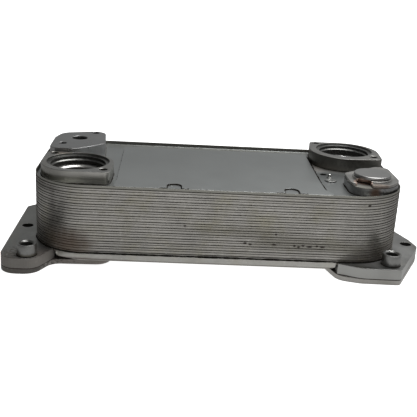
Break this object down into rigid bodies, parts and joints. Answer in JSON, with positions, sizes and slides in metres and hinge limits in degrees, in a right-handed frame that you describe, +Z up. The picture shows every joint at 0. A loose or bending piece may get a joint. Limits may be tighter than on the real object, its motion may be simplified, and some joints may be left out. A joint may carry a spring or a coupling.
{
  "type": "hydraulic oil cooler",
  "caption": "Brazed stacked-plate oil cooler with two flanged coolant ports, a small port block, a blanked port, underside oil ports and two bolt-down feet.",
  "frame": {"origin": "middle of the whole footprint, in the plane of the underside that the cooler is bolted down on", "axes": "+X along the plate stack towards the blanked port's end, +Y across it towards the back, +Z up out of the coolant flanges"},
  "size_m": [0.401, 0.189, 0.0932],
  "materials": {
    "plate_steel": "brazed stainless sheet, dull with heat tint",
    "cover_steel": "smooth stainless sheet, satin",
    "flange_steel": "machined steel, furnace darkened",
    "foot_steel": "laser cut steel plate, dull with light rust",
    "bright_steel": "turned or drawn steel, bright edges",
    "fin_steel": "thin folded stainless sheet with braze film"
  },
  "bodies": {
    "root": {"base_plate": "foot_steel", "left_foot": "foot_steel", "right_foot": "foot_steel", "left_port_plate": "foot_steel", "right_port_plate": "foot_steel", "left_spacer_tube": "bright_steel", "right_spacer_tube": "bright_steel", "dish_plate_01": "plate_steel", "dish_plate_02": "plate_steel", "dish_plate_03": "plate_steel", "dish_plate_04": "plate_steel", "dish_plate_05": "plate_steel", "dish_plate_06": "plate_steel", "dish_plate_07": "plate_steel", "dish_plate_08": "plate_steel", "dish_plate_09": "plate_steel", "dish_plate_10": "plate_steel", "dish_plate_11": "plate_steel", "dish_plate_12": "plate_steel", "dish_plate_13": "plate_steel", "dish_plate_14": "plate_steel", "dish_plate_15": "plate_steel", "dish_plate_16": "plate_steel", "dish_plate_17": "plate_steel", "dish_plate_18": "plate_steel", "dish_plate_19": "plate_steel", "dish_plate_20": "plate_steel", "dish_plate_21": "plate_steel", "dish_plate_22": "plate_steel", "dish_plate_23": "plate_steel", "dish_plate_24": "plate_steel", "dish_plate_25": "plate_steel", "oil_turbulator_01": "fin_steel", "oil_turbulator_02": "fin_steel", "oil_turbulator_03": "fin_steel", "oil_turbulator_04": "fin_steel", "oil_turbulator_05": "fin_steel", "oil_turbulator_06": "fin_steel", "oil_turbulator_07": "fin_steel", "oil_turbulator_08": "fin_steel", "oil_turbulator_09": "fin_steel", "oil_turbulator_10": "fin_steel", "oil_turbulator_11": "fin_steel", "oil_turbulator_12": "fin_steel", "cover_plate": "cover_steel", "stiffening_plate": "cover_steel", "front_left_flange": "flange_steel", "back_right_flange": "flange_steel", "front_left_collar": "bright_steel", "back_right_collar": "bright_steel", "back_left_block": "flange_steel", "front_right_block": "flange_steel", "closing_plate": "cover_steel", "blanking_cap": "bright_steel", "cable_clip": "cover_steel"}
  },
  "joints": []
}
